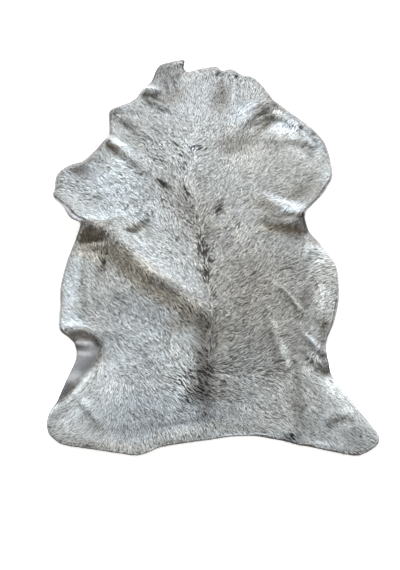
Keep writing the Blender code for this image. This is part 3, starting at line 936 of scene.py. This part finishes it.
angle += math.pi * (lock_way < 0.5 - 0.8 * np.abs(np.sin(angle)))
angle += (lock_turn - 0.5) * LOCK_TURN
angle += rng.normal(0, 1, HAIRS) * np.radians(4 + 5 * fine)
at_rim = from_rim < RIM_FUZZ
fuzz = roots[at_rim, :2]
away = [-distance_to(fuzz + move, rim_loop) for move in (np.array((MM, 0)), np.array((0, MM)))]
away = np.array(away) + distance_to(fuzz, rim_loop)
angle[at_rim] = np.arctan2(away[1], away[0]) + rng.normal(0, 0.6, len(fuzz))
along = np.stack([np.cos(angle), np.sin(angle), np.zeros(HAIRS)], axis=1)
along = unit(along - up * (along * up).sum(axis=1)[:, None])
across = np.cross(up, along)

length = HAIR_LENGTH * (0.8 + 0.35 * lock_length) * rng.uniform(0.75, 1.15, HAIRS)
length *= 1 - 0.1 * fine
length = length * (1 - root_bare) + DOWN_LENGTH * root_bare
length *= RIM_LENGTH + (1 - RIM_LENGTH) * smooth_step(from_rim / RIM_RISE)
offset = roots[:, :2] - lock_at
sideways = (offset * across[:, :2]).sum(axis=1)
lean_in = np.clip(-0.8 * sideways / length, -0.25, 0.25)[:, None]
along = unit(along + across * lean_in)
across = np.cross(up, along)


def in_slit(share):
    """Whether each hair is in a nick at that share of its length, softly from 0 to 1."""
    spots = roots[:, :2] + along[:, :2] * (share * length)[:, None]
    noise = 0.9 * streak_noise(spots, flow, NICK_LENGTH, NICK_WIDTH, 21)
    return smooth_step((noise - nick_from) / SLIT_EDGE)


nicked = np.maximum(in_slit(0), in_slit(0.5))
length *= (1 - NICKED_OFF * nicked) * (1 - TIP_OFF * in_slit(0.95))

reach = np.clip(room * (0.9 + 0.2 * lock_lift) / length, 0.05, 0.7)
reach *= 1 - (1 - FINE_REACH) * fine
reach[at_rim] = RIM_REACH
slant = np.arcsin(reach) * 1.35
bend = np.arcsin(reach) * 0.45


def step(directions, angles, lengths):
    """A move of that length along the wool, tilted up from the skin by the angles."""
    flat = directions * np.cos(angles)[:, None] + up * np.sin(angles)[:, None]
    return flat * lengths[:, None]


wave = across * (rng.normal(0, 0.4 * MM, HAIRS))[:, None]
base = roots - up * (0.4 * MM)
knee = base + step(along, slant, length * LOWER_PART) + wave
tip = knee + step(along, bend, length * (1 - LOWER_PART)) - wave
roll = rng.normal(0, math.radians(9), HAIRS)
blade = across * np.cos(roll)[:, None] + up * np.sin(roll)[:, None]
width = HAIR_WIDTH * rng.uniform(0.7, 1.2, HAIRS) * (1 - 0.45 * root_bare)
half = blade * (width / 2)[:, None]
print("mean length, mm:", round(float(length.mean() / MM), 1))

# %% Shade of each hair
BASE_SHADE = 0.41
LOCK_CONTRAST = 0.08
FINE_CONTRAST = 0.06
COARSE_CONTRAST = 0.19
LOCK_EDGE_SHADE = 0.10
GAP_SHADE_LOCK = 0.55
PALE_RIM_AND_GLOW = 0.6
NICK_PAINTED_SHADE = 0.97
BASE_WARMTH = 0.45
PALE_RIM_AND_GLOW_COOL = 0.4

within = np.clip(2 * np.abs(sideways) * math.sqrt(LOCK_STRETCH) / LOCK_PITCH, 0, 1)
contrast = LOCK_CONTRAST - FINE_CONTRAST * fine + COARSE_CONTRAST * coarse
hair_shade = BASE_SHADE + contrast * (0.67 - lock_shade**2)
# Painted shade between the locks: hairs at a lock's edge are darker.
hair_shade -= LOCK_EDGE_SHADE * (1 - 0.7 * fine) * within**2
hair_shade += 0.05 * soft_noise(roots[:, :2], 13 * MM, 5) + 0.03 * soft_noise(roots[:, :2], 45 * MM, 9)
# Painted shade: a share of locks is darkened for the shadows in the gaps between tufts.
hair_shade *= 1 - GAP_SHADE_LOCK * (lock_gap_shade < GAP_SHADE_SHARE * (0.1 + coarse))
# Along the rim the wool is painted paler and bluer: partly the pale cut edge and its fuzz, partly a
# painted highlight along the rim.
pale_rim_and_glow = np.exp(-((from_rim / RIM_FUZZ) ** 2))
hair_shade *= 1 + PALE_RIM_AND_GLOW * pale_rim_and_glow
# Painted light and shade from the places, and painted shade in the nicks.
hair_shade *= light * (1 - NICK_PAINTED_SHADE * nicked)
hair_shade *= np.exp(rng.normal(0, 1, HAIRS) * (0.15 + 0.20 * coarse))
hair_shade = np.clip(hair_shade, 0.01, 1.0)
hair_warm = BASE_WARMTH + 0.6 * warmth - PALE_RIM_AND_GLOW_COOL * pale_rim_and_glow + rng.normal(0, 0.1, HAIRS)
hair_warm = np.clip(hair_warm, 0.0, 1.0)
print("mean shade:", round(float(hair_shade.mean()), 3))

# %% [markdown]
# ## From arrays to pieces
# So many hairs are joined into a few meshes, written straight from the arrays. Each point keeps its
# hair's shade and warmth and how far along the hair it is, and the material reads those.

# %% Wool material
wool, tree, shader = new_material("cropped_lamb_wool")
# Greased, undyed grey wool: pale dry tips, roots darker and browner, partly their own colour and partly
# painted shade from the wool above, with a faint silky sheen.
held = {
    name: add_node(tree, "ShaderNodeAttribute", attribute_name=name).outputs["Fac"]
    for name in ("along", "shade", "warmth")
}
cool = add_node(tree, "ShaderNodeValToRGB", links=[("Fac", held["shade"])])
cool.color_ramp.elements[0].color = colour("2f3032")
cool.color_ramp.elements[1].color = colour("e8f2f4")
warm = add_node(tree, "ShaderNodeValToRGB", links=[("Fac", held["shade"])])
warm.color_ramp.elements[0].color = colour("352f29")
warm.color_ramp.elements[1].color = colour("f1ecda")
hue = add_node(
    tree,
    "ShaderNodeMix",
    data_type="RGBA",
    links=[(0, held["warmth"]), (6, cool.outputs["Color"]), (7, warm.outputs["Color"])],
)
root_tone_and_shade = add_node(tree, "ShaderNodeValToRGB", links=[("Fac", held["along"])])
root_tone_and_shade.color_ramp.elements[0].color = colour("60574f")
root_tone_and_shade.color_ramp.elements[1].position = 0.85
root_tone_and_shade.color_ramp.elements[1].color = colour("ffffff")
tone = add_node(
    tree,
    "ShaderNodeMix",
    data_type="RGBA",
    blend_type="MULTIPLY",
    values=[(0, 1.0)],
    links=[(6, hue.outputs[2]), (7, root_tone_and_shade.outputs["Color"])],
)
tree.links.new(tone.outputs[2], shader.inputs["Base Color"])
shader.inputs["Roughness"].default_value = 0.62
shader.inputs["Specular IOR Level"].default_value = 0.35
shader.inputs["Sheen Weight"].default_value = 0.12
shader.inputs["Sheen Roughness"].default_value = 0.4
print("wool material:", len(tree.nodes), "nodes")

# %% Make the wool pieces
ALONG = np.array((0.0, 0.0, 0.55, 0.55, 1.0))


def wool_piece(name, which):
    """One mesh of the chosen hairs."""
    count = int(which.sum())
    thin = half[which] * 0.75
    spots = np.stack(
        [
            base[which] - half[which],
            base[which] + half[which],
            knee[which] + thin,
            knee[which] - thin,
            tip[which],
        ],
        axis=1,
    )
    first = np.arange(count)[:, None] * 5
    loops = (first + np.array((0, 1, 2, 3, 3, 2, 4))).ravel()
    mesh = bpy.data.meshes.new(name)
    mesh.vertices.add(count * 5)
    mesh.vertices.foreach_set("co", spots.ravel())
    mesh.loops.add(count * 7)
    mesh.loops.foreach_set("vertex_index", loops)
    mesh.polygons.add(count * 2)
    starts = (np.arange(count)[:, None] * 7 + np.array((0, 4))).ravel()
    mesh.polygons.foreach_set("loop_start", starts)
    mesh.update(calc_edges=True)
    for field, values in (
        ("along", np.tile(ALONG, count)),
        ("shade", np.repeat(hair_shade[which], 5)),
        ("warmth", np.repeat(hair_warm[which], 5)),
    ):
        mesh.attributes.new(field, "FLOAT", "POINT").data.foreach_set("value", values)
    mesh.materials.append(wool)
    piece = bpy.data.objects.new(name, mesh)
    scene.collection.objects.link(piece)
    print(name, count, "hairs,", count * 3, "triangles")
    return piece


bands = np.quantile(roots[:, 1], (0.25, 0.5, 0.75))
band = np.searchsorted(bands, roots[:, 1])
wool_pieces = [
    wool_piece(f"wool_{part}", band == k) for k, part in enumerate(("rump", "loin", "back", "neck"))
]

# %% Declare
pieces = [hide, underwool] + wool_pieces
for piece in pieces:
    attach(piece, "root")
    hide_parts("lambskin")
